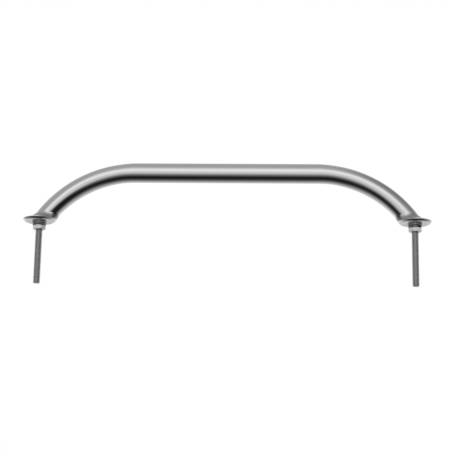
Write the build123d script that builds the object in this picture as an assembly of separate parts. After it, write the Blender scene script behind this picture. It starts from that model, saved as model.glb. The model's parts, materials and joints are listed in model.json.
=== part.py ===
from build123d import *
import os
from math import asin, cos, radians, sin, sqrt, tan

# Stud-mounted grab rail for a boat's deck or cabin side, in millimetres.
# Origin: midway between the two studs, on the plane of the deck. +X runs along the rail, +Z away from the deck.

# ---- driving dimensions ----
STUD_SPACING = 419.1         # 16 1/2 in between the stud centres
RAIL_HEIGHT = 57.3           # deck to the axis of the straight run
TUBE_OD = 22.2               # 7/8 in tube
TUBE_WALL = 1.2
BEND_RADIUS = 127.0          # 5 in, to the tube's axis
STRAIGHT_LENGTH = 202.0      # between the two bends
BEND_TURN = 58.0             # degrees, past the flange before the end is coped

FLANGE_OD = 38.6             # to the sharp rim; 37.8 once it is rounded, near 1 1/2 in
RIM_HEIGHT = 2.6             # deck to the widest point of the flange
RIM_SLOPE = 26.0             # degrees, fall of the dome at its rim
SKIRT_LEAN = 52.0            # degrees from upright, of the skirt turned under below the rim
COVER_SHEET = 1.4
RIM_ROUND = 0.45             # polished radius of the rim
PLATE_THICK = 1.4
PLATE_EDGE_BREAK = 0.25      # chamfer that leaves a fine groove round the plate
WELD_RADIUS = 5.5            # concave weld round the tube's foot
WELD_OVERHANG = 1.6          # how far the weld may reach past the rim

STUD_OD = 7.938              # 5/16-18 UNC, major diameter
STUD_LENGTH = 69.85          # 2 3/4 in below the deck plane
STUD_TIP = 0.9               # chamfer of the free end
STUD_HEAD_OD = 12.0          # thin head held above the base plate
STUD_HEAD_THICK = 2.0
NECK_RELIEF = 0.2            # the stored nut covers a neck this much smaller in radius

WASHER_OD = 16.0
WASHER_ID = 8.7
WASHER_THICK = 1.6
SPRING_OD = 14.8
SPRING_ID = 8.5
SPRING_THICK = 2.0
SPRING_RISE = 0.6            # what is left of the spring washer's helix under a hand-tight nut
SPRING_GAP = 16.0            # degrees, opening of the split
SPLIT_SIDE = {"left": 200.0, "right": 310.0}  # degrees round from +X, middle of the split
NUT_FLATS = 12.7             # 1/2 in across flats, jam nut
NUT_HEIGHT = 4.76            # 3/16 in
NUT_BORE_CLEAR = 0.05        # radial, nut to stud
NUT_CHAMFER = 30.0           # degrees, of the corners
NUT_COUNTERSINK = 0.35

# ---- worked out ----
STRAIGHT_HALF = STRAIGHT_LENGTH / 2
BEND_CENTRE_Z = RAIL_HEIGHT - BEND_RADIUS
TUBE_R = TUBE_OD / 2
STUD_X = STUD_SPACING / 2
STUD_R = STUD_OD / 2
RIM_R = FLANGE_OD / 2
DOME_R = RIM_R / sin(radians(RIM_SLOPE))
DOME_INNER_R = DOME_R - COVER_SHEET
DOME_CENTRE_Z = RIM_HEIGHT - DOME_R * cos(radians(RIM_SLOPE))
SKIRT_RUN = tan(radians(SKIRT_LEAN))                       # run inwards for each mm down
LIP_OUTER_R = RIM_R - RIM_HEIGHT * SKIRT_RUN
LIP_INNER_R = LIP_OUTER_R - COVER_SHEET / cos(radians(SKIRT_LEAN))
SPRING_TOP = -WASHER_THICK
NUT_TOP = SPRING_TOP - SPRING_THICK - SPRING_RISE
NUT_BOTTOM = NUT_TOP - NUT_HEIGHT
SIDES = {"left": -1, "right": 1}


def at_stud(side, z=0.0):
    return Location((SIDES[side] * STUD_X, 0, z))


def ball(radius, side):
    return at_stud(side, DOME_CENTRE_Z) * Sphere(radius)


def rod(radius, bottom, top):
    """A round bar on the Z axis between two heights."""
    return Pos(0, 0, bottom) * Cylinder(radius, top - bottom, align=(Align.CENTER, Align.CENTER, Align.MIN))


def ring(outer, inner, bottom, top):
    return rod(outer, bottom, top) - rod(inner, bottom, top)


def turned(*outline):
    """The solid of revolution about Z of a closed outline in the XZ plane."""
    edges = [edge for piece in outline for edge in piece.edges()]
    return revolve(make_face(Plane.XZ * Wire(edges)), Axis.Z)


def circles(solid, radius):
    return [e for e in solid.edges().filter_by(GeomType.CIRCLE) if abs(e.radius - radius) < 0.01]


def rail_rod(radius):
    """The rail's bent centreline with a round section of this radius, its ends not yet coped."""
    section = Pos(STRAIGHT_HALF, 0, RAIL_HEIGHT) * Rot(0, 90, 0) * Circle(radius)
    bend_axis = Axis((STRAIGHT_HALF, 0, BEND_CENTRE_Z), (0, 1, 0))
    bend = revolve(section, bend_axis, revolution_arc=BEND_TURN)
    straight = Pos(0, 0, RAIL_HEIGHT) * Rot(0, 90, 0) * Cylinder(radius, STRAIGHT_LENGTH)
    return straight + bend + mirror(bend, about=Plane.YZ)


def rail_tube():
    """The bent tube, coped at both ends to sit on the domes of the flanges."""
    tube = rail_rod(TUBE_R) - rail_rod(TUBE_R - TUBE_WALL)
    for side in SIDES:
        tube -= ball(DOME_R, side)
    return tube


def on_sphere(radius, turn):
    """A point of the dome's section: this far round, in radians, from the crown."""
    return (radius * sin(turn), DOME_CENTRE_Z + radius * cos(turn))


def flange_cover(side):
    """A pressed dome whose rim is turned under, so that its lip holds the base plate."""
    rim_turn = radians(RIM_SLOPE)
    hollow_turn = inner_rim_turn()
    crown, hollow_top = on_sphere(DOME_R, 0), on_sphere(DOME_INNER_R, 0)
    rim, inner_rim = on_sphere(DOME_R, rim_turn), on_sphere(DOME_INNER_R, hollow_turn)
    lip_outer, lip_inner = (LIP_OUTER_R, 0), (LIP_INNER_R, 0)
    cover = turned(
        ThreePointArc(crown, on_sphere(DOME_R, rim_turn / 2), rim),
        Line(rim, lip_outer),
        Line(lip_outer, lip_inner),
        Line(lip_inner, inner_rim),
        ThreePointArc(inner_rim, on_sphere(DOME_INNER_R, hollow_turn / 2), hollow_top),
        Line(hollow_top, crown),
    )
    return at_stud(side) * fillet(circles(cover, RIM_R), RIM_ROUND)


def inner_rim_turn():
    """Where the inside of the skirt meets the inside of the dome, as an angle from the crown."""
    lean = radians(SKIRT_LEAN)
    offset = LIP_INNER_R * cos(lean) + DOME_CENTRE_Z * sin(lean)
    return lean + asin(offset / DOME_INNER_R)


def base_plate(side):
    """The disc that closes the underside of the flange, its edge bevelled to the skirt."""
    top_r = LIP_INNER_R + PLATE_THICK * SKIRT_RUN
    plate = turned(Polyline((0, 0), (LIP_INNER_R, 0), (top_r, PLATE_THICK), (0, PLATE_THICK), close=True))
    plate = chamfer(circles(plate, LIP_INNER_R), PLATE_EDGE_BREAK)
    return at_stud(side) * (plate - rod(STUD_R - NECK_RELIEF, 0, PLATE_THICK))


def tube_weld(side):
    """The concave weld between the tube's foot and the dome, dressed off just past the rim."""
    dome, leg = ball(DOME_R, side), rail_rod(TUBE_R)
    joined = dome + leg
    welded = fillet([e for e in joined.edges() if on_seam(e, side)], WELD_RADIUS)
    keep = at_stud(side) * rod(RIM_R + WELD_OVERHANG, RIM_HEIGHT, RAIL_HEIGHT)
    return (welded - dome - leg) & keep


def on_seam(edge, side):
    """Whether an edge lies on the dome's sphere and off the end of the uncoped leg."""
    centre = Vector(SIDES[side] * STUD_X, 0, DOME_CENTRE_Z)
    points = [edge @ t for t in (0.0, 0.25, 0.5, 0.75)]
    return all(abs((p - centre).length - DOME_R) < 0.01 for p in points) and points[1].Z > 0


def stud(side):
    """The stud, plain at its thread's major diameter, with a chamfered tip and a thin head."""
    bare_top = NUT_BOTTOM - NUT_COUNTERSINK
    shank = rod(STUD_R, -STUD_LENGTH, bare_top)
    shank = chamfer(shank.edges().sort_by(Axis.Z)[0], STUD_TIP)
    neck = rod(STUD_R - NECK_RELIEF, bare_top, PLATE_THICK)
    head = rod(STUD_HEAD_OD / 2, PLATE_THICK, PLATE_THICK + STUD_HEAD_THICK)
    return at_stud(side) * (shank + neck + head)


def flat_washer(side):
    return at_stud(side) * ring(WASHER_OD / 2, WASHER_ID / 2, SPRING_TOP, 0)


def spring_washer(side):
    """A split ring, wound left-handed, that climbs by SPRING_RISE round its turn."""
    mean_r, width = (SPRING_OD + SPRING_ID) / 4, (SPRING_OD - SPRING_ID) / 2
    turn = 1 - SPRING_GAP / 360
    line = Helix(pitch=SPRING_RISE / turn, height=SPRING_RISE, radius=mean_r, lefthand=True)
    section = Pos(mean_r, 0, 0) * Rot(90, 0, 0) * Rectangle(width, SPRING_THICK)
    washer = sweep(section, path=line, is_frenet=True)
    start = SPLIT_SIDE[side] - SPRING_GAP / 2
    return at_stud(side, NUT_TOP + SPRING_THICK / 2) * Rot(0, 0, start) * washer


def hex_nut(side):
    prism = Pos(0, 0, NUT_BOTTOM) * extrude(RegularPolygon(NUT_FLATS / 2, 6, major_radius=False), NUT_HEIGHT)
    corner_r = NUT_FLATS / sqrt(3)
    face_r = NUT_FLATS / 2 - 0.2
    drop = (corner_r - face_r) * tan(radians(NUT_CHAMFER))
    envelope = turned(Polyline(
        (0, NUT_BOTTOM),
        (face_r, NUT_BOTTOM),
        (corner_r, NUT_BOTTOM + drop),
        (corner_r, NUT_TOP - drop),
        (face_r, NUT_TOP),
        (0, NUT_TOP),
        close=True,
    ))
    bore_r = STUD_R + NUT_BORE_CLEAR
    nut = (prism & envelope) - rod(bore_r, NUT_BOTTOM, NUT_TOP)
    return at_stud(side) * chamfer(circles(nut, bore_r), NUT_COUNTERSINK)


def write(name, shape):
    shape.label = name
    export_step(shape, f"parts/{name}.step")


os.makedirs("parts", exist_ok=True)
write("rail_tube", rail_tube())
for side in SIDES:
    write(f"flange_cover_{side}", flange_cover(side))
    write(f"base_plate_{side}", base_plate(side))
    write(f"tube_weld_{side}", tube_weld(side))
    write(f"stud_{side}", stud(side))
    write(f"flat_washer_{side}", flat_washer(side))
    write(f"spring_washer_{side}", spring_washer(side))
    write(f"hex_nut_{side}", hex_nut(side))
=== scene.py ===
import json
from math import acos, atan, ceil, cos, hypot, pi, radians, sin, sqrt, tan, tau

import bmesh
import bpy
from mathutils import Matrix, Vector, noise


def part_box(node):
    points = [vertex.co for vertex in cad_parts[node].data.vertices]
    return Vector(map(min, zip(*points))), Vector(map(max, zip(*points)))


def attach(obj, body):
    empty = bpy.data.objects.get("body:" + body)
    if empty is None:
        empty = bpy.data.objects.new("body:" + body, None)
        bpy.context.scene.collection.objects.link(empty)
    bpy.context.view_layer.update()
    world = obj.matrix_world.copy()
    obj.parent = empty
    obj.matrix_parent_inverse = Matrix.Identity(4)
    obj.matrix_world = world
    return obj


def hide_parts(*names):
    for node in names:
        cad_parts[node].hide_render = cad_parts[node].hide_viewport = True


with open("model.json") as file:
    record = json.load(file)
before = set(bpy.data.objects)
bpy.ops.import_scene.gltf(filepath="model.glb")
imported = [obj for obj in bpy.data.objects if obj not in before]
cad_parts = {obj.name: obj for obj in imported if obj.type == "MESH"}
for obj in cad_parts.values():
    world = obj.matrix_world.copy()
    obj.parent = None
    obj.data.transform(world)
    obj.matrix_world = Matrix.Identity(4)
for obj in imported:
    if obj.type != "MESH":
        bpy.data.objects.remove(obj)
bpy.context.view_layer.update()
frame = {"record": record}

# Looks of the stud-mounted grab rail. Shapes are worked out in millimetres, in the frame's axes, and made
# in metres.
MM = 0.001
RECORD = frame["record"]
SIDES = {"left": -1, "right": 1}
BODY_OF = {node: body for body, nodes in RECORD["behaviour"]["bodies"].items() for node in nodes}


# ---- sizes, in millimetres ----
def span(node, axis):
    """Lowest and highest coordinate of a CAD node along one axis."""
    low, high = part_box(node)
    return low[axis] / MM, high[axis] / MM


def stud_place():
    """Distance of the studs from the middle, and the height of their free ends."""
    tip = next(m for m in RECORD["mounts"] if m["name"] == "stud_right_free_end")
    return tip["pos_m"][0] / MM, span("stud_right", 2)[0]


STUD_X, STUD_LOW = stud_place()
TUBE_R = span("rail_tube", 1)[1]
TUBE_WALL = 1.2
RAIL_HEIGHT = span("rail_tube", 2)[1] - TUBE_R
BEND_RADIUS = 127.0
BEND_CENTRE_Z = RAIL_HEIGHT - BEND_RADIUS
STRAIGHT_HALF = 101.0
BEND_FLATTEN = 0.03          # share of the tube's width lost in the plane of a bend
BEND_EASE = radians(9)       # turn over which the tube goes from round to flattened
SHORTEST_TURN = radians(25)  # the bend meets the flange somewhere between these two turns
LONGEST_TURN = radians(58)
TURN_HALVINGS = 40           # steps of the search for that turn

RIM_R = 19.2                 # to the sharp rim, before it is rounded
RIM_HEIGHT = 2.6
RIM_SLOPE = radians(26)      # fall of the dome at its rim
RIM_ROUND = 0.5
SKIRT_LEAN = radians(52)     # from upright
COVER_SHEET = 1.4
DOME_R = RIM_R / sin(RIM_SLOPE)
DOME_CENTRE_Z = RIM_HEIGHT - DOME_R * cos(RIM_SLOPE)
LIP_OUTER_R = RIM_R - RIM_HEIGHT * tan(SKIRT_LEAN)
LIP_INNER_R = LIP_OUTER_R - COVER_SHEET / cos(SKIRT_LEAN)
PLATE_THICK = 1.4
LIP_ROUND = 0.2
KNEE_R = 16.9                # where the turned-under skirt starts to flatten out
KNEE_HEIGHT = 0.45
KNEE_ROUND = 1.0
FOOT_R = 15.6                # outer edge of the flat underside

# The weld, on the outer side of the tube's foot, at its front and back, and on the side under the rail
WELD_TUBE_LEG = (4.0, 5.5, 7.5)
WELD_FLANGE_LEG = (4.0, 6.9, 2.2)
WELD_FULLNESS = (0.3, 0.3, 1.1)
WELD_RIPPLE = 0.05
WELD_RIPPLES = 46            # round the foot
WELD_LUMP = 0.12             # height of its slow unevenness
WELD_ROOT = 0.4              # how far it runs under both surfaces
WELD_SWELL = 0.7             # power of its rise from either edge
WELD_BOW = 1.2               # lag of a ripple at the edges, which bows it
WELD_LUMPS = 0.35            # to the millimetre
WELD_GRAIN_STEP = 0.4        # grain from one row of its face to the next
WELD_GRAIN_ROUND = 20        # grain for each radian round the foot
WELD_HALVINGS = 30           # steps of the search for its edge on the flange

PITCH = 25.4 / 18            # 5/16-18 UNC
THREAD_CREST_R = 3.948
THREAD_ROOT_R = 3.25
THREAD_FLANK_R = 3.60
THREAD_TIP_R = 3.15
THREAD_ROUND = 0.02          # how far the crest bulges and the root's edges lie out
THREAD_TOP = -2.4            # the thread runs out here, inside the stored spring washer
NECK_R = 3.77
NECK_START = 0.3             # above the thread's top, where the neck begins to widen
NECK_FULL = 0.9              # and where it has its full width
NECK_COLLAR = ((0, -0.35), (0.1, -0.1), (0.35, 0.01), (0, 0.05))     # beyond the neck, and height
STUD_HEAD_R = 6.0
STUD_HEAD_TOP = PLATE_THICK + 2.0
STUD_HEAD_EDGE = 0.4
STUD_END = ((1, 0), (0.6, 0.02), (0, 0.03))      # share of the tip's radius, and height in its face

WASHER_BORE_R = 4.35
WASHER_ROUNDS = (0.12, 0.25, 0.4, 0.12)          # from the bore's lower edge, round by the rim
SPRING_OUTER_R = 7.4
SPRING_INNER_R = 4.25
SPRING_THICK = 2.0
SPRING_ROUND = 0.25
SPRING_GAP = radians(16)
SPRING_SLANT = radians(9)    # lean of the cut ends over the washer's thickness
SPLIT_SIDE = {"left": radians(200), "right": radians(310)}

NUT_THREAD_CREST_R = 3.31
NUT_THREAD_ROOT_R = 4.04
NUT_THREAD_FLANK_R = 3.68
NUT_MOUTH_R = 4.42
NUT_CORNER_ROUND = 0.5
NUT_FACE_INSET = 0.25        # from the flats to the edge of the round bearing face
NUT_CHAMFER = radians(30)
NUT_CREASE = 25              # degrees, above which an edge is sharp

MERGE_WITHIN = 0.002         # points this near become one
SLIVER = 0.001               # edges shorter than this go
NO_TURN = 1e-6


# ---- meshes ----
def make_piece(name, node, slot, material, points, faces, grain, crease=35):
    """A smooth-shaded closed mesh that stands for a CAD node. Points and grain are in millimetres, and an
    edge that turns by more than the crease, in degrees, is sharp."""
    mesh = bpy.data.meshes.new(name)
    mesh.from_pydata([Vector(p) * MM for p in points], [], faces)
    lay = mesh.attributes.new("grain", "FLOAT_VECTOR", "POINT")
    for value, place in zip(lay.data, grain):
        value.vector = place
    tidy = bmesh.new()
    tidy.from_mesh(mesh)
    bmesh.ops.remove_doubles(tidy, verts=tidy.verts, dist=MERGE_WITHIN * MM)
    bmesh.ops.dissolve_degenerate(tidy, edges=tidy.edges, dist=SLIVER * MM)
    bmesh.ops.recalc_face_normals(tidy, faces=tidy.faces)
    bmesh.ops.delete(tidy, geom=[edge for edge in tidy.edges if edge.is_wire], context="EDGES")
    tidy.to_mesh(mesh)
    tidy.free()
    mesh.polygons.foreach_set("use_smooth", [True] * len(mesh.polygons))
    mesh.set_sharp_from_angle(angle=radians(crease))
    mesh.materials.append(material)
    piece = bpy.data.objects.new(name, mesh)
    bpy.context.scene.collection.objects.link(piece)
    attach(piece, BODY_OF[node])
    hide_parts(node)
    return piece


def quads(rows, columns, ring=True, loop=False):
    """Faces between rows of points. A ring joins each row's ends; a loop joins the last row to the first."""
    faces = []
    for row in range(rows if loop else rows - 1):
        after = (row + 1) % rows
        for column in range(columns if ring else columns - 1):
            beside = (column + 1) % columns
            faces.append((
                row * columns + column,
                row * columns + beside,
                after * columns + beside,
                after * columns + column,
            ))
    return faces


def rounded(corners, radii, steps=5):
    """A closed outline with an arc of its own radius at each corner. A radius of 0 keeps the corner."""
    outline = []
    for index, (corner, radius) in enumerate(zip(corners, radii)):
        here = Vector(corner)
        if not radius:
            outline.append(here)
            continue
        back = (Vector(corners[index - 1]) - here).normalized()
        ahead = (Vector(corners[(index + 1) % len(corners)]) - here).normalized()
        half = acos(max(-1, min(1, back @ ahead))) / 2
        middle = here + (back + ahead).normalized() * radius / sin(half)
        first = here + back * radius / tan(half) - middle
        last = here + ahead * radius / tan(half) - middle
        for step in range(steps + 1):
            outline.append(middle + arc_step(first, last, step / steps))
    return outline


def arc_step(first, last, share):
    """A vector turned part of the way from the first to the last, both of the same length."""
    angle = acos(max(-1, min(1, first.normalized() @ last.normalized())))
    if angle < NO_TURN:
        return first
    return (sin((1 - share) * angle) * first + sin(share * angle) * last) / sin(angle)


def lathe(section, side, columns=120):
    """Points, faces and grain of a closed section of (radius, height) turned about a stud's axis."""
    points, grain = [], []
    run = 0
    before = section[-1]
    for place in section:
        run += (Vector(place) - Vector(before)).length
        before = place
        radius, height = place
        for column in range(columns):
            angle = tau * column / columns
            across, deep = radius * cos(angle), radius * sin(angle)
            points.append((SIDES[side] * STUD_X + across, deep, height))
            grain.append((run, across, deep))
    return points, quads(len(section), columns, loop=True), grain


def thread_rows(angles, low, high, profile, limit):
    """Columns of a right-hand thread between two heights, which a run of rows joins into one helix.
    The profile is (share of a pitch, radius) pairs from one crest to the next, and limit gives the radius
    that is left of it at a height."""
    turns = ceil((high - low) / PITCH) + 2
    first = int(low // PITCH) - 1
    rows = []
    for turn in range(first, first + turns + 1):
        for share, radius in profile:
            row = []
            for angle in angles:
                height = PITCH * (turn + share + angle / tau)
                held = max(low, min(high, height))
                row.append((limit(radius, held), angle, held))
            rows.append(row)
    return rows


def thread_faces(rows, columns, per_turn):
    """Faces of a helix of rows: the end of a row joins the start of the row one pitch higher."""
    faces = []
    for row in range(rows - 1):
        for column in range(columns - 1):
            start = row * columns + column
            faces.append((start, start + 1, start + columns + 1, start + columns))
    for row in range(rows - 1 - per_turn):
        end = row * columns + columns - 1
        start = (row + per_turn) * columns
        faces.append((end, start, start + columns, end + columns))
    return faces


# ---- rail ----
def bend_ease(turn):
    """0 where the bend starts, 1 once the tube is fully flattened."""
    share = max(0.0, min(1.0, turn / BEND_EASE))
    return share * share * (3 - 2 * share)


def on_tube(turn, angle, radius):
    """Point of the right half of the rail: a turn into the bend, and round the tube from its outer side."""
    flat = BEND_FLATTEN * bend_ease(turn)
    across = radius * (1 - flat) * cos(angle)
    deep = radius * (1 + flat / 2) * sin(angle)
    reach = BEND_RADIUS + across
    return Vector((STRAIGHT_HALF + reach * sin(turn), deep, BEND_CENTRE_Z + reach * cos(turn)))


DOME_CENTRE = Vector((STUD_X, 0, DOME_CENTRE_Z))


def meeting_turn(angle, radius, dome_radius):
    """The turn at which a line along the tube meets a sphere about the right dome's centre."""
    near, far = SHORTEST_TURN, LONGEST_TURN
    for _ in range(TURN_HALVINGS):
        middle = (near + far) / 2
        if (on_tube(middle, angle, radius) - DOME_CENTRE).length > dome_radius:
            near = middle
        else:
            far = middle
    return middle


def rail_tube(material):
    columns, straight_rows, bend_rows = 160, 48, 96
    angles = [tau * c / columns for c in range(columns)]
    points, grain = [], []
    for radius in (TUBE_R, TUBE_R - TUBE_WALL):
        ends = [meeting_turn(a, radius, DOME_R) for a in angles]
        rows = []
        for row in range(bend_rows, 0, -1):
            rows.append([(-1, end * row / bend_rows) for end in ends])
        for row in range(straight_rows + 1):
            rows.append([(0, 2 * row / straight_rows - 1) for _ in ends])
        for row in range(1, bend_rows + 1):
            rows.append([(1, end * row / bend_rows) for end in ends])
        if radius < TUBE_R:
            rows.reverse()
        for row in rows:
            for angle, (half, share) in zip(angles, row):
                if half:
                    place = on_tube(share, angle, radius)
                    place.x *= half
                    run = half * (STRAIGHT_HALF + BEND_RADIUS * share)
                else:
                    run = STRAIGHT_HALF * share
                    place = (run, radius * sin(angle), RAIL_HEIGHT + radius * cos(angle))
                points.append(place)
                grain.append((run, radius * cos(angle), radius * sin(angle)))
    rows = len(points) // columns
    faces = quads(rows, columns, loop=True)
    return make_piece("tube", "rail_tube", "polished_stainless", material, points, faces, grain)


# ---- feet ----
def dome_point(radius, turn):
    return (radius * sin(turn), DOME_CENTRE_Z + radius * cos(turn))


def flange_cover(side, material):
    """The pressed dome, its rim turned under to a lip."""
    steps = 14
    offset = LIP_INNER_R * cos(SKIRT_LEAN) + DOME_CENTRE_Z * sin(SKIRT_LEAN)
    inner_radius = DOME_R - COVER_SHEET
    inner_turn = SKIRT_LEAN + atan(offset / sqrt(inner_radius ** 2 - offset ** 2))
    outside = [dome_point(DOME_R, RIM_SLOPE * s / steps) for s in range(steps + 1)]
    inside = [dome_point(inner_radius, inner_turn * s / steps) for s in range(steps, -1, -1)]
    corners = outside + [(KNEE_R, KNEE_HEIGHT), (FOOT_R, 0), (LIP_INNER_R, 0)] + inside
    radii = [0] * steps + [RIM_ROUND, KNEE_ROUND, KNEE_ROUND, LIP_ROUND] + [0] * (steps + 1)
    shape = lathe(rounded(corners, radii, steps=8), side)
    return make_piece(f"cover_{side}", f"flange_cover_{side}", "polished_stainless", material, *shape)


def base_plate(side, material):
    top_r = LIP_INNER_R + PLATE_THICK * tan(SKIRT_LEAN)
    rings = 6
    under = [(NECK_R + (LIP_INNER_R - NECK_R) * s / rings, 0) for s in range(rings + 1)]
    corners = under + [(top_r, PLATE_THICK), (NECK_R, PLATE_THICK)]
    radii = [0] * rings + [2 * LIP_ROUND, 0, 0]
    shape = lathe(rounded(corners, radii), side)
    return make_piece(f"plate_{side}", f"base_plate_{side}", "plate_stainless", material, *shape)


def weld_section(angle, steps):
    """The weld's face at one place round the right foot, from its edge on the tube to that on the flange."""
    inward = (1 - cos(angle)) / 2
    turn = meeting_turn(angle, TUBE_R, DOME_R)
    seam = on_tube(turn, angle, TUBE_R)
    on_leg = on_tube(turn - blend(WELD_TUBE_LEG, inward) / BEND_RADIUS, angle, TUBE_R)
    away = Vector((cos(angle) * sin(turn), sin(angle), 0)).normalized()
    on_foot = on_flange(seam, away, blend(WELD_FLANGE_LEG, inward))
    pull = seam.lerp((on_leg + on_foot) / 2, blend(WELD_FULLNESS, inward))
    shares = [s / (steps - 1) for s in range(steps)]
    return [on_leg * (1 - s) ** 2 + pull * 2 * s * (1 - s) + on_foot * s * s for s in shares]


def blend(values, share):
    """Three values at 0, 0.5 and 1, joined by a curve."""
    first, middle, last = values
    ends = first * (1 - share) * (1 - 2 * share) + last * share * (2 * share - 1)
    return ends + 4 * middle * share * (1 - share)


def on_flange(seam, away, leg):
    """The point this far from the seam along the flange: over the dome, then down the skirt past the rim."""
    near, far = 0.0, leg
    for _ in range(WELD_HALVINGS):
        reach = (near + far) / 2
        place = seam + away * reach
        if hypot(place.x - STUD_X, place.y) > RIM_R - RIM_ROUND / 2:
            far = reach
        else:
            near = reach
    radius = hypot(place.x - STUD_X, place.y)
    place.z = DOME_CENTRE_Z + sqrt(DOME_R ** 2 - radius ** 2)
    drop = (leg - reach) * cos(SKIRT_LEAN)
    place.x -= (place.x - STUD_X) / radius * drop * tan(SKIRT_LEAN)
    place.y -= place.y / radius * drop * tan(SKIRT_LEAN)
    place.z -= drop
    return place


def tube_weld(side, material):
    """A bead round the tube's foot, with the faint ripples left by the torch."""
    columns, count = 184, 22
    sections = [weld_section(tau * column / columns, count) for column in range(columns)]
    points, grain = [], []
    for step in range(count + 1):
        for column in range(columns):
            angle = tau * column / columns
            if step == count:
                root = meeting_turn(angle, TUBE_R - WELD_ROOT, DOME_R - WELD_ROOT)
                place = on_tube(root, angle, TUBE_R - WELD_ROOT)
            else:
                place = sections[column][step].copy()
                share = step / (count - 1)
                swell = sin(pi * share) ** WELD_SWELL
                lag = WELD_BOW * (share - 0.5) ** 2
                ripple = WELD_RIPPLE * sin(WELD_RIPPLES * (angle + lag)) * swell
                lump = WELD_LUMP * noise.noise(place * WELD_LUMPS) * swell
                place += (place - DOME_CENTRE).normalized() * (ripple + lump)
            place.x *= SIDES[side]
            points.append(place)
            grain.append((WELD_GRAIN_ROUND * angle, step * WELD_GRAIN_STEP, 0))
    faces = quads(count + 1, columns, loop=True)
    return make_piece(f"weld_{side}", f"tube_weld_{side}", "weld_stainless", material, points, faces, grain)


# ---- fasteners ----
def stud(side, material):
    """The stud: a rolled thread, a plain neck through the base plate, and a thin head above it."""
    columns = 60
    angles = [tau * c / columns for c in range(columns)]
    profile = [(-0.0625, THREAD_CREST_R), (0, THREAD_CREST_R + THREAD_ROUND), (0.0625, THREAD_CREST_R),
               (0.22, THREAD_FLANK_R), (0.375, THREAD_ROOT_R + THREAD_ROUND), (0.5, THREAD_ROOT_R),
               (0.625, THREAD_ROOT_R + THREAD_ROUND), (0.78, THREAD_FLANK_R)]

    def limit(radius, height):
        return min(radius, THREAD_TIP_R + (height - STUD_LOW), THREAD_TIP_R + (THREAD_TOP - height))

    rows = thread_rows(angles, STUD_LOW, THREAD_TOP, profile, limit)
    faces = thread_faces(len(rows), columns, len(profile))
    x = SIDES[side] * STUD_X
    points = [(x + r * cos(a), r * sin(a), z) for row in rows for r, a, z in row]
    grain = [(z, r * cos(a), r * sin(a)) for row in rows for r, a, z in row]
    run_out = [(THREAD_TIP_R, THREAD_TOP), (THREAD_TIP_R, THREAD_TOP + NECK_START),
               (NECK_R, THREAD_TOP + NECK_FULL)]
    neck = [(NECK_R + beyond, height) for beyond, height in NECK_COLLAR] + [(NECK_R, PLATE_THICK)]
    head = [(STUD_HEAD_R, PLATE_THICK), (STUD_HEAD_R, STUD_HEAD_TOP - STUD_HEAD_EDGE),
            (STUD_HEAD_R - STUD_HEAD_EDGE, STUD_HEAD_TOP), (0, STUD_HEAD_TOP)]
    upper = run_out + neck + head
    lower = [(THREAD_TIP_R * share, STUD_LOW + height) for share, height in STUD_END]
    for chain in (upper, lower):
        start = len(points)
        faces += [tuple(start + i for i in face) for face in quads(len(chain), columns)]
        points += [(x + r * cos(a), r * sin(a), z) for r, z in chain for a in angles]
        grain += [(z + r, r * cos(a), r * sin(a)) for r, z in chain for a in angles]
    return make_piece(f"stud_bar_{side}", f"stud_{side}", "stud_stainless", material, points, faces, grain)


def flat_washer(side, material):
    low, high = span(f"flat_washer_{side}", 2)
    outer = span(f"flat_washer_{side}", 1)[1]
    corners = [(WASHER_BORE_R, low), (outer, low), (outer, high), (WASHER_BORE_R, high)]
    shape = lathe(rounded(corners, WASHER_ROUNDS), side)
    return make_piece(f"washer_{side}", f"flat_washer_{side}", "fastener_stainless", material, *shape)


def spring_washer(side, material):
    """A split ring of spring steel, left as a shallow left-hand helix."""
    low, high = span(f"spring_washer_{side}", 2)
    rise = high - low - SPRING_THICK
    half = SPRING_THICK / 2
    section = rounded([(SPRING_INNER_R, -half), (SPRING_OUTER_R, -half), (SPRING_OUTER_R, half),
                       (SPRING_INNER_R, half)], [SPRING_ROUND] * 4, steps=3)
    rows, columns = 150, len(section)
    turn = tau - SPRING_GAP - SPRING_SLANT
    start = SPLIT_SIDE[side] + (SPRING_GAP + SPRING_SLANT) / 2
    points, grain = [], []
    for row in range(rows):
        for radius, up in section:
            share = row / (rows - 1)
            angle = start + turn * share + SPRING_SLANT * up / SPRING_THICK
            height = high - half - rise * share + up
            points.append((SIDES[side] * STUD_X + radius * cos(angle), radius * sin(angle), height))
            grain.append((radius + up, radius * cos(angle), radius * sin(angle)))
    faces = quads(rows, columns)
    faces.append(tuple(range(columns)))
    faces.append(tuple((rows - 1) * columns + c for c in range(columns)))
    return make_piece(f"spring_{side}", f"spring_washer_{side}", "fastener_stainless", material,
                      points, faces, grain)


def corner_turn(apothem):
    """Half the turn about a hexagon's middle that its rounded corner takes."""
    return pi / 6 - atan((apothem - NUT_CORNER_ROUND) * tan(pi / 6) / apothem)


def hexagon_radius(from_corner, apothem):
    """Radius of a hexagon with rounded corners at an angle from its nearest corner."""
    hub = (apothem - NUT_CORNER_ROUND) / cos(pi / 6)
    if from_corner < corner_turn(apothem):
        return hub * cos(from_corner) + sqrt(NUT_CORNER_ROUND ** 2 - (hub * sin(from_corner)) ** 2)
    return apothem / cos(pi / 6 - from_corner)


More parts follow.
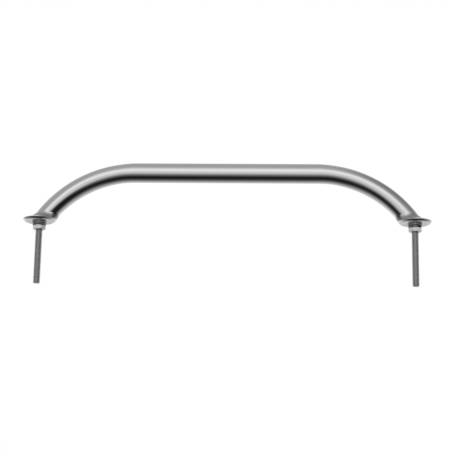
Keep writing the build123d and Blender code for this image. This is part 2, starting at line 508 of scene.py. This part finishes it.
def hex_nut(side, material):
    """A jam nut with chamfered corners and a real thread, in step with the stud's."""
    low, high = span(f"hex_nut_{side}", 2)
    apothem = span(f"hex_nut_{side}", 1)[1]
    face_r = apothem - NUT_FACE_INSET
    round_turn = corner_turn(apothem)
    spread = [0, round_turn / 3, 2 * round_turn / 3, round_turn]
    spread += [round_turn + (pi / 6 - round_turn) * s / 4 for s in (1, 2, 3, 4)]
    around = spread + [pi / 3 - s for s in reversed(spread[1:-1])]
    angles = [corner * pi / 3 + a for corner in range(6) for a in around]
    radii = [hexagon_radius(min(a, pi / 3 - a), apothem) for _ in range(6) for a in around]
    columns = len(angles)
    profile = [(-0.11, NUT_THREAD_ROOT_R), (0.11, NUT_THREAD_ROOT_R), (0.25, NUT_THREAD_FLANK_R),
               (0.4, NUT_THREAD_CREST_R), (0.6, NUT_THREAD_CREST_R), (0.75, NUT_THREAD_FLANK_R)]

    def limit(radius, height):
        return max(radius, NUT_MOUTH_R - (height - low), NUT_MOUTH_R - (high - height))

    rows = thread_rows(angles, low, high, profile, limit)
    faces = thread_faces(len(rows), columns, len(profile))
    x = SIDES[side] * STUD_X
    points = [(x + r * cos(a), r * sin(a), z) for row in rows for r, a, z in row]
    grain = [(z, r * cos(a), r * sin(a)) for row in rows for r, a, z in row]
    start = len(points)
    for level, inward in ((low, 1), (high, -1)):
        rings = [[NUT_MOUTH_R] * columns, [(NUT_MOUTH_R + face_r) / 2] * columns, [face_r] * columns]
        chain = [[(r, level) for r in ring] for ring in rings]
        chain.append([(r, level + inward * (r - face_r) * tan(NUT_CHAMFER)) for r in radii])
        if inward < 0:
            chain.reverse()
        for ring in chain:
            for (r, z), a in zip(ring, angles):
                points.append((x + r * cos(a), r * sin(a), z))
                grain.append((r + z, r * cos(a), r * sin(a)))
    faces += [tuple(start + i for i in face) for face in quads(2 * len(chain), columns)]
    return make_piece(f"nut_{side}", f"hex_nut_{side}", "fastener_stainless", material, points, faces, grain,
                      crease=NUT_CREASE)


# ---- materials ----
def grey(level):
    return (level, level, level, 1)


class Graph:
    """Adds nodes to a node tree, with their settings and inputs in one call."""

    def __init__(self, tree):
        self.tree = tree
        tree.nodes.clear()

    def add(self, kind, inputs=None, **settings):
        node = self.tree.nodes.new(kind)
        for setting, value in settings.items():
            setattr(node, setting, value)
        for socket, value in (inputs or {}).items():
            if isinstance(value, bpy.types.NodeSocket):
                self.tree.links.new(value, node.inputs[socket])
            else:
                node.inputs[socket].default_value = value
        return node

    def math(self, operation, first, second=0.0):
        return self.add("ShaderNodeMath", {0: first, 1: second}, operation=operation).outputs[0]

    def spread(self, value, low, high):
        """A 0 to 1 value spread between two others."""
        return self.add("ShaderNodeMapRange", {"Value": value, "To Min": low, "To Max": high}).outputs[0]

    def ease(self, value, first, last):
        """0 up to the first of two values, 1 from the last on, and a smooth change between them."""
        return self.add("ShaderNodeMapRange", {"Value": value, "From Min": first, "From Max": last},
                        interpolation_type="SMOOTHSTEP").outputs[0]

    def noise(self, place, scale, stretch=(1, 1, 1), detail=2.0, rough=0.5):
        """Noise over the grain, with so many spots to the millimetre; stretch scales its axes."""
        lay = self.add("ShaderNodeMapping", {"Vector": place, "Scale": stretch})
        return self.add("ShaderNodeTexNoise", {
            "Vector": lay.outputs[0], "Scale": scale, "Detail": detail, "Roughness": rough}).outputs["Fac"]

    def scratches(self, place, scale, turn, width):
        """Sparse thin lines: 1 on a line and 0 between them."""
        lay = self.add("ShaderNodeMapping", {"Vector": place, "Rotation": turn, "Scale": SCRATCH_STRETCH})
        field = self.add("ShaderNodeTexNoise", {
            "Vector": lay.outputs[0], "Scale": scale, "Detail": 1.0, "Distortion": 0.2}).outputs["Fac"]
        off = self.math("ABSOLUTE", self.math("SUBTRACT", field, 0.5))
        return self.add("ShaderNodeMapRange", {
            "Value": off, "From Min": 0.0, "From Max": width, "To Min": 1.0, "To Max": 0.0}).outputs[0]


SCRATCH_STRETCH = (1, 0.02, 0.02)
LINE_STRETCH = (1, 0.03, 0.03)
SPECKS = 1.7                 # to the millimetre
TONE_CLOUDS = 0.7            # shares of what varies a steel's tone
TONE_LINES = 0.3
WEAR_CLOUDS = 0.5            # shares of what varies its roughness
WEAR_LINES = 0.35
WEAR_SPECKS = 0.15
TOE_TONE = 0.84
TOE_ROUGH = 0.08


def steel(name, tones, rough, lines, line_depth, scuff=0.0, mottle=0.12, toe=0.0):
    """Stainless steel: two tones in faint clouds, a spread of roughness, fine lines of finishing, so many to
    the millimetre and so many millimetres deep, and scratches. A toe is the width, in millimetres, of an edge
    that is polished into the metal beside it."""
    material = bpy.data.materials.new(name)
    material.use_nodes = True
    graph = Graph(material.node_tree)
    grain = graph.add("ShaderNodeAttribute", attribute_name="grain").outputs["Vector"]
    cloud = graph.noise(grain, mottle, detail=4.0, rough=0.6)
    fine = graph.noise(grain, lines, stretch=LINE_STRETCH, detail=3.0, rough=0.65)
    speck = graph.noise(grain, SPECKS, detail=2.0)
    scratch = graph.math("MAXIMUM", graph.scratches(grain, scale=1.1, turn=(0.2, 0.5, 1.1), width=0.004),
                         graph.scratches(grain, scale=0.8, turn=(0.4, -0.3, 2.3), width=0.003))
    tone = graph.math("ADD", graph.math("MULTIPLY", cloud, TONE_CLOUDS),
                      graph.math("MULTIPLY", fine, TONE_LINES))
    dark, light = tones
    colour = graph.add("ShaderNodeMix", {0: tone, 6: grey(dark), 7: grey(light)}, data_type="RGBA").outputs[2]
    worn = graph.math("ADD", graph.math("MULTIPLY", cloud, WEAR_CLOUDS),
                      graph.math("MULTIPLY", fine, WEAR_LINES))
    worn = graph.math("ADD", worn, graph.math("MULTIPLY", speck, WEAR_SPECKS))
    worn = graph.math("ADD", worn, graph.math("MULTIPLY", scratch, scuff))
    roughness = graph.spread(worn, rough[0], rough[1])
    if toe:
        along = graph.add("ShaderNodeSeparateXYZ", {0: grain}).outputs[1]
        buffed = graph.add("ShaderNodeMapRange", {
            "Value": along, "From Max": toe, "To Min": 1.0, "To Max": 0.0,
        }, interpolation_type="SMOOTHSTEP").outputs[0]
        colour = graph.add("ShaderNodeMix", {0: buffed, 6: colour, 7: grey(TOE_TONE)},
                           data_type="RGBA").outputs[2]
        roughness = graph.add("ShaderNodeMix", {0: buffed, 2: roughness, 3: TOE_ROUGH}).outputs[0]
    groove = graph.math("SUBTRACT", fine, graph.math("MULTIPLY", scratch, scuff))
    relief = graph.add("ShaderNodeBump", {"Height": groove, "Strength": 1.0, "Distance": line_depth * MM})
    shader = graph.add("ShaderNodeBsdfPrincipled", {
        "Base Color": colour, "Roughness": roughness, "Metallic": 1.0, "Normal": relief.outputs[0]})
    graph.add("ShaderNodeOutputMaterial", {"Surface": shader.outputs[0]})
    return material


POLISHED = steel("polished_steel", (0.80, 0.88), (0.03, 0.13), 9.0, 0.0006, scuff=0.3)
DRESSED = steel("dressed_weld", (0.44, 0.60), (0.30, 0.52), 4.0, 0.006, mottle=0.5, toe=4.0)
SHEET = steel("satin_sheet", (0.78, 0.88), (0.26, 0.40), 6.0, 0.002, mottle=0.2)
THREADED = steel("rolled_thread", (0.50, 0.66), (0.30, 0.52), 6.0, 0.004, mottle=0.4)
# The flat washer's pale tone is partly its bright sheet and partly painted light, which lifts the dark that
# its sides mirror from under the flange.
WASHER_SHEET_AND_LIGHT = steel("washer_sheet_painted_light", (0.86, 0.94), (0.50, 0.66), 6.0, 0.002, mottle=0.3)
MACHINED = steel("machined_steel", (0.60, 0.74), (0.16, 0.36), 7.0, 0.002, scuff=0.3)
# The spring washer's dark tone is partly a duller spring-steel finish and partly painted shade of the gap
# under the flange.
SPRING_STEEL_AND_SHADE = steel("spring_steel_and_painted_shade", (0.28, 0.40), (0.34, 0.55), 6.0, 0.004, mottle=0.5)


# ---- camera ----
CAMERA_AZIMUTH = radians(2.7)       # towards +X, of the place that the camera looks from
CAMERA_ELEVATION = radians(-13)
CAMERA_ROLL = radians(1.0)
CAMERA_DISTANCE = 1.408
CAMERA_AIM = Vector((-0.00105, 0, -0.0022))
CAMERA_LENS = 101.04
CAMERA_REACH = 50                   # metres


def make_camera():
    back = Vector((
        sin(CAMERA_AZIMUTH) * cos(CAMERA_ELEVATION),
        -cos(CAMERA_AZIMUTH) * cos(CAMERA_ELEVATION),
        sin(CAMERA_ELEVATION),
    ))
    level = Vector((0, 0, 1)).cross(back).normalized()
    upright = back.cross(level)
    right = cos(CAMERA_ROLL) * level + sin(CAMERA_ROLL) * upright
    up = -sin(CAMERA_ROLL) * level + cos(CAMERA_ROLL) * upright
    data = bpy.data.cameras.new("camera")
    data.lens = CAMERA_LENS
    data.clip_end = CAMERA_REACH
    camera = bpy.data.objects.new("camera", data)
    bpy.context.scene.collection.objects.link(camera)
    turn = Matrix((right, up, back)).transposed().to_4x4()
    camera.matrix_world = Matrix.Translation(CAMERA_AIM + CAMERA_DISTANCE * back) @ turn
    bpy.context.scene.camera = camera


# ---- studio ----
# Brightness of the studio by the angle about the rail's own axis, in degrees: 0 is straight in front of the
# rail, 90 overhead, 180 behind it and 270 straight below. Each list is one slice, and they blend into each
# other. The stops were picked and rounded from the brightness that the photographed tube shows in
# each mirrored direction, guessed where it mirrors nothing, and then adjusted by render.
STUDIO_MIDDLE = [
    (0, 0.66), (12, 0.84), (24, 0.92), (36, 0.80), (48, 0.58), (62, 0.42), (90, 0.38), (118, 0.42),
    (134, 0.58), (160, 0.92), (180, 0.95), (196, 0.62), (218, 0.55), (240, 0.30), (260, 0.10), (274, 0.035),
    (286, 0.010), (298, 0.012), (310, 0.048), (322, 0.14), (336, 0.33), (348, 0.60),
]
STUDIO_LEFT = [
    (0, 0.54), (12, 0.62), (24, 0.48), (42, 0.40), (60, 0.38), (84, 0.38), (118, 0.44), (134, 0.52),
    (160, 0.80), (180, 1.00), (204, 0.74), (218, 0.60), (240, 0.36), (256, 0.20), (274, 0.060),
    (290, 0.020), (304, 0.012), (316, 0.04), (326, 0.15), (338, 0.40), (348, 0.56),
]
STUDIO_RIGHT = [
    (0, 0.22), (14, 0.66), (30, 0.54), (48, 0.34), (66, 0.23), (92, 0.21), (118, 0.26), (134, 0.36),
    (160, 0.75), (180, 0.95), (204, 0.62), (220, 0.53), (242, 0.33), (258, 0.18), (276, 0.048),
    (292, 0.016), (306, 0.010), (324, 0.012), (340, 0.03), (350, 0.07),
]


LEFT_BLEND = (-0.25, -0.55)  # X of the direction where this slice begins, and where it is all there is
RIGHT_BLEND = (0.08, 0.50)
STUDIO_ENDS = 0.08           # brightness far off to either side, below the horizon
ENDS_ASIDE = (0.62, 0.9)     # X of the direction where that begins and is full, either way
ENDS_BELOW = (0.12, -0.12)   # Z of it


def studio_slice(graph, share, stops):
    """A colour ramp of brightness round the rail's axis, closed on itself."""
    ramp = graph.add("ShaderNodeValToRGB", {0: share})
    band = ramp.color_ramp
    band.interpolation = "EASE"
    for index, (degree, level) in enumerate(stops + [(360, stops[0][1])]):
        stop = band.elements[index] if index < 2 else band.elements.new(degree / 360)
        stop.position = degree / 360
        stop.color = grey(level)
    return ramp.outputs[0]


def make_world():
    """A white backdrop for the camera, and a studio of bright and dark bands that only reflections show."""
    world = bpy.data.worlds.new("studio")
    world.use_nodes = True
    bpy.context.scene.world = world
    graph = Graph(world.node_tree)
    toward = graph.add("ShaderNodeTexCoord").outputs["Generated"]
    part = graph.add("ShaderNodeSeparateXYZ", {0: toward}).outputs
    angle = graph.math("ARCTAN2", part[2], graph.math("MULTIPLY", part[1], -1.0))
    share = graph.math("FRACT", graph.math("ADD", graph.math("DIVIDE", angle, tau), 1.0))
    view = studio_slice(graph, share, STUDIO_MIDDLE)
    for stops, (first, last) in ((STUDIO_LEFT, LEFT_BLEND), (STUDIO_RIGHT, RIGHT_BLEND)):
        weight = graph.ease(part[0], first, last)
        sideways = studio_slice(graph, share, stops)
        view = graph.add("ShaderNodeMix", {0: weight, 6: view, 7: sideways}, data_type="RGBA").outputs[2]
    aside = graph.ease(graph.math("ABSOLUTE", part[0]), *ENDS_ASIDE)
    below = graph.ease(part[2], *ENDS_BELOW)
    ends = graph.math("MULTIPLY", aside, below)
    view = graph.add("ShaderNodeMix", {0: ends, 6: view, 7: grey(STUDIO_ENDS)},
                     data_type="RGBA", blend_type="DARKEN").outputs[2]
    glow = graph.add("ShaderNodeBackground", {0: view, 1: 1.0}).outputs[0]
    plain = graph.add("ShaderNodeBackground", {0: grey(1), 1: 1.0}).outputs[0]
    seen = graph.add("ShaderNodeLightPath").outputs["Is Camera Ray"]
    mixed = graph.add("ShaderNodeMixShader", {0: seen, 1: glow, 2: plain}).outputs[0]
    graph.add("ShaderNodeOutputWorld", {0: mixed})


FLOOR_Z = -0.45
FLOOR_SIZE = 14.0
FLOOR_TONE = 0.86
FLOOR_ROUGH = (0.75, 0.9)


def make_floor():
    """A plain pale floor below the rail, which the polished metal doesn't mirror."""
    material = bpy.data.materials.new("floor")
    material.use_nodes = True
    graph = Graph(material.node_tree)
    place = graph.add("ShaderNodeTexCoord").outputs["Object"]
    field = graph.add("ShaderNodeTexNoise", {"Vector": place, "Scale": 3.0, "Detail": 3.0}).outputs["Fac"]
    shader = graph.add("ShaderNodeBsdfPrincipled", {
        "Base Color": grey(FLOOR_TONE), "Roughness": graph.spread(field, *FLOOR_ROUGH)})
    graph.add("ShaderNodeOutputMaterial", {"Surface": shader.outputs[0]})
    mesh = bpy.data.meshes.new("floor")
    half = FLOOR_SIZE / 2
    corners = [(-half, -half), (half, -half), (half, half), (-half, half)]
    mesh.from_pydata([(x, y, FLOOR_Z) for x, y in corners], [], [(0, 1, 2, 3)])
    mesh.materials.append(material)
    floor = bpy.data.objects.new("floor", mesh)
    floor.visible_glossy = False
    bpy.context.scene.collection.objects.link(floor)


LAMP_PLACE = (0.4, -0.6, 2.0)
LAMP_POWER = 30
LAMP_SIZE = 1.6


def make_light(name, place, power, size):
    """A soft square lamp aimed at the middle of the rail, which the polished metal doesn't mirror."""
    data = bpy.data.lights.new(name, "AREA")
    data.energy = power
    data.size = size
    lamp = bpy.data.objects.new(name, data)
    lamp.location = place
    lamp.rotation_euler = (-Vector(place)).to_track_quat("-Z", "Y").to_euler()
    lamp.visible_glossy = False
    bpy.context.scene.collection.objects.link(lamp)


make_camera()
make_world()
make_floor()
make_light("overhead", LAMP_PLACE, LAMP_POWER, LAMP_SIZE)
rail_tube(POLISHED)
for side in SIDES:
    flange_cover(side, POLISHED)
    base_plate(side, SHEET)
    tube_weld(side, DRESSED)
    stud(side, THREADED)
    flat_washer(side, WASHER_SHEET_AND_LIGHT)
    spring_washer(side, SPRING_STEEL_AND_SHADE)
    hex_nut(side, MACHINED)
bpy.context.scene.view_settings.view_transform = "Standard"
